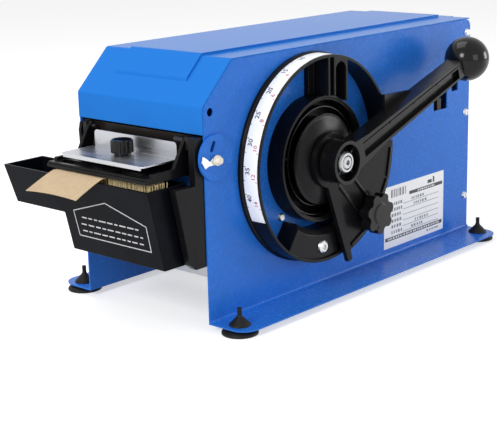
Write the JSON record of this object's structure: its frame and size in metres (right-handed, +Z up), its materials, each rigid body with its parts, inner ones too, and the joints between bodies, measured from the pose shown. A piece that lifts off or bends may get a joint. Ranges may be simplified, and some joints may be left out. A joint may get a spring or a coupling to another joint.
{
  "type": "gummed tape dispenser",
  "caption": "Lever-operated gummed paper tape dispenser: blue sheet-metal housing with a hinged lid, round length dial, hand lever, press frame with knob, and a water tank with a wetting brush.",
  "frame": {"origin": "middle of the bounding box on the plane that the feet stand on", "axes": "-Y is the front, where the wet tape comes out; +X is the dial and lever side; +Z is up"},
  "size_m": [0.2876, 0.5512, 0.2601],
  "materials": {
    "black_casting": "satin black stove enamel on cast metal",
    "black_gloss": "polished black phenolic",
    "black_plastic": "moulded black plastic",
    "black_rubber": "soft black rubber",
    "blue_coat": "fine-textured blue powder coat",
    "bright_steel": "brushed bright steel",
    "bristle": "straw-coloured bristle",
    "bronze": "sintered bronze",
    "chrome_plate": "bright chrome plate",
    "cream_plastic": "cream plastic",
    "dark_brown": "dark brown baked enamel",
    "grey_board": "grey paper board",
    "kraft_paper": "brown gummed kraft paper",
    "turned_steel": "turned and ground steel",
    "white_card": "white printed film",
    "zinc_steel": "bright zinc plate"
  },
  "bodies": {
    "housing": {"side_panel_right": "blue_coat", "side_panel_left": "blue_coat", "back_panel": "blue_coat", "base_plate": "zinc_steel", "tie_bars": "zinc_steel", "front_carrier": "blue_coat", "lid_hinge": "blue_coat", "lid_hinge_pin": "turned_steel", "rubber_feet": "black_rubber", "panel_screws": "zinc_steel", "rating_plate": "white_card", "dial_ring": "black_casting", "scale_strip": "white_card", "stop_block": "black_casting", "spring_housing": "black_casting", "return_spring": "turned_steel", "idler_shaft": "turned_steel", "shaft_bushes": "bronze", "press_bracket": "blue_coat", "guide_bar": "turned_steel", "throat_plate": "zinc_steel", "fixed_blade": "bright_steel", "blade_guides": "black_casting", "hinge_bar": "dark_brown", "frame_pin": "dark_brown", "tank_rail": "zinc_steel", "right_cheek": "black_casting", "left_cheek": "black_casting", "latch_screw": "cream_plastic", "roll_guides": "zinc_steel", "cradle_brackets": "zinc_steel", "tape_web": "kraft_paper", "brake_tab": "dark_brown"},
    "top_lid": {"lid": "blue_coat"},
    "hand_lever": {"spring_bell": "black_casting", "lever_arm": "black_casting", "ball_knob": "black_gloss", "lever_bolt": "turned_steel", "lever_shaft": "turned_steel", "drive_gear": "turned_steel"},
    "length_selector": {"selector_arm": "black_casting"},
    "selector_knob": {"star_knob": "black_plastic", "star_stud": "turned_steel"},
    "idler": {"idler_gear": "turned_steel"},
    "feed_drive": {"feed_gear": "turned_steel", "feed_roller": "black_rubber", "feed_shaft": "turned_steel"},
    "pressure_roller": {"press_roller": "black_rubber"},
    "wetting_frame": {"press_frame": "black_casting", "press_plate": "bright_steel", "hold_down_spring": "turned_steel"},
    "frame_knob": {"press_knob": "black_plastic"},
    "knife": {"shear_blade": "bright_steel"},
    "tank": {"water_tank": "black_plastic", "brush": "bristle"},
    "side_latch": {"latch_hook": "chrome_plate"},
    "roll": {"tape_roll": "kraft_paper", "roll_core": "grey_board"},
    "front_cradle_roller": {"cradle_roller_front": "turned_steel"},
    "rear_cradle_roller": {"cradle_roller_rear": "turned_steel"}
  },
  "joints": [
    {"name": "lid_hinge", "type": "hinge", "parent": "housing", "child": "top_lid", "pos_m": [-0.00935, 0.27213, 0.2542], "axis": [-1, 0, 0], "range_deg": [0, 100]},
    {"name": "lever_swing", "type": "hinge", "parent": "housing", "child": "hand_lever", "pos_m": [-0.00935, -0.02837, 0.145], "axis": [1, 0, 0], "range_deg": [0, 180], "stiffness_Nm_per_rad": 0.5, "springref_deg": -57.3},
    {"name": "selector_swing", "type": "hinge", "parent": "housing", "child": "length_selector", "pos_m": [-0.00935, -0.02837, 0.145], "axis": [1, 0, 0], "range_deg": [0, 40]},
    {"name": "selector_knob_turn", "type": "hinge", "parent": "length_selector", "child": "selector_knob", "pos_m": [-0.00935, 0.03301, 0.07918], "axis": [1, 0, 0], "continuous": true},
    {"name": "idler_turn", "type": "hinge", "parent": "housing", "child": "idler", "pos_m": [-0.00935, -0.10395, 0.08744], "axis": [1, 0, 0], "continuous": true},
    {"name": "feed_turn", "type": "hinge", "parent": "housing", "child": "feed_drive", "pos_m": [-0.00935, -0.14137, 0.1311], "axis": [1, 0, 0], "continuous": true},
    {"name": "pressure_roller_turn", "type": "hinge", "parent": "housing", "child": "pressure_roller", "pos_m": [-0.00935, -0.14137, 0.1597], "axis": [1, 0, 0], "continuous": true},
    {"name": "wetting_frame_flip", "type": "hinge", "parent": "housing", "child": "wetting_frame", "pos_m": [-0.00935, -0.18237, 0.1845], "axis": [-1, 0, 0], "range_deg": [0, 70]},
    {"name": "frame_knob_turn", "type": "hinge", "parent": "wetting_frame", "child": "frame_knob", "pos_m": [-0.00735, -0.20437, 0.1695], "axis": [0, 0, 1], "continuous": true},
    {"name": "knife_lift", "type": "slide", "parent": "housing", "child": "knife", "axis": [0, 0, 1], "range_m": [0, 0.004]},
    {"name": "tank_slide", "type": "slide", "parent": "housing", "child": "tank", "axis": [-1, 0, 0], "range_m": [0, 0.09]},
    {"name": "latch_turn", "type": "hinge", "parent": "housing", "child": "side_latch", "pos_m": [-0.00935, -0.16837, 0.1665], "axis": [-1, 0, 0], "range_deg": [0, 60]},
    {"name": "roll_turn", "type": "hinge", "parent": "housing", "child": "roll", "pos_m": [-0.00935, 0.15563, 0.12113], "axis": [1, 0, 0], "continuous": true},
    {"name": "front_cradle_turn", "type": "hinge", "parent": "housing", "child": "front_cradle_roller", "pos_m": [-0.00935, 0.10563, 0.04], "axis": [1, 0, 0], "continuous": true},
    {"name": "rear_cradle_turn", "type": "hinge", "parent": "housing", "child": "rear_cradle_roller", "pos_m": [-0.00935, 0.20563, 0.04], "axis": [1, 0, 0], "continuous": true}
  ],
  "couplings": [
    {"joint": "idler_turn", "follows": "lever_swing", "ratio": -5.3333},
    {"joint": "feed_turn", "follows": "lever_swing", "ratio": 10},
    {"joint": "pressure_roller_turn", "follows": "lever_swing", "ratio": -24.375},
    {"joint": "front_cradle_turn", "follows": "roll_turn", "ratio": -12.571},
    {"joint": "rear_cradle_turn", "follows": "roll_turn", "ratio": -12.571}
  ]
}
